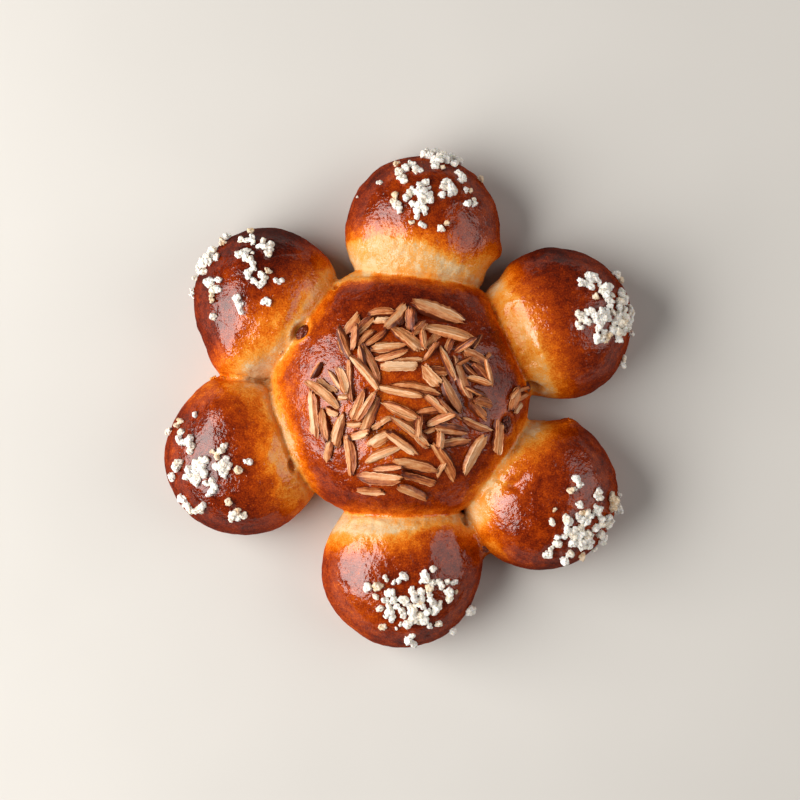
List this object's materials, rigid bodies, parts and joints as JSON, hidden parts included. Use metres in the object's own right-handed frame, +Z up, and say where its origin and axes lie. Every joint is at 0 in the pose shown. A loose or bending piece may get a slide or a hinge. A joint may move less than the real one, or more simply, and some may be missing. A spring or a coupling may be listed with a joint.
{
  "type": "king cake",
  "caption": "Flower-shaped loaf of glazed sweet dough with almond slivers on its centre and pearl sugar on its petals.",
  "frame": {"origin": "on the flat underside, on the axis of the large centre ball", "axes": "+Z up out of the flat underside, +Y towards the petal that lies at the top of the cake as it is looked down on"},
  "size_m": [0.2337, 0.2474, 0.0688],
  "materials": {
    "crust": "satin",
    "almond": "satin",
    "pearl_sugar": "matte",
    "raisin": "satin"
  },
  "bodies": {
    "root": {"bread": "crust", "raisin_in_crown": "raisin", "raisin_in_seam": "raisin", "raisin_at_corner": "raisin", "raisin_at_notch": "raisin", "almond_sliver_01": "almond", "almond_sliver_02": "almond", "almond_sliver_03": "almond", "almond_sliver_04": "almond", "almond_sliver_05": "almond", "almond_sliver_06": "almond", "almond_sliver_07": "almond", "almond_sliver_08": "almond", "almond_sliver_09": "almond", "almond_sliver_10": "almond", "almond_sliver_11": "almond", "almond_sliver_12": "almond", "almond_sliver_13": "almond", "almond_sliver_14": "almond", "almond_sliver_15": "almond", "almond_sliver_16": "almond", "almond_sliver_17": "almond", "almond_sliver_18": "almond", "almond_sliver_19": "almond", "almond_sliver_20": "almond", "almond_sliver_21": "almond", "almond_sliver_22": "almond", "almond_sliver_23": "almond", "almond_sliver_24": "almond", "almond_sliver_25": "almond", "almond_sliver_26": "almond", "almond_sliver_27": "almond", "almond_sliver_28": "almond", "almond_sliver_29": "almond", "almond_sliver_30": "almond", "almond_sliver_31": "almond", "sugar_north_1": "pearl_sugar", "sugar_north_2": "pearl_sugar", "sugar_north_3": "pearl_sugar", "sugar_north_4": "pearl_sugar", "sugar_north_5": "pearl_sugar", "sugar_north_west_1": "pearl_sugar", "sugar_north_west_2": "pearl_sugar", "sugar_north_west_3": "pearl_sugar", "sugar_north_west_4": "pearl_sugar", "sugar_north_west_5": "pearl_sugar", "sugar_south_west_1": "pearl_sugar", "sugar_south_west_2": "pearl_sugar", "sugar_south_west_3": "pearl_sugar", "sugar_south_west_4": "pearl_sugar", "sugar_south_west_5": "pearl_sugar", "sugar_south_1": "pearl_sugar", "sugar_south_2": "pearl_sugar", "sugar_south_east_1": "pearl_sugar", "sugar_south_east_2": "pearl_sugar", "sugar_south_east_3": "pearl_sugar", "sugar_north_east_1": "pearl_sugar", "sugar_north_east_2": "pearl_sugar", "sugar_north_east_3": "pearl_sugar", "sugar_north_east_4": "pearl_sugar"}
  },
  "joints": []
}
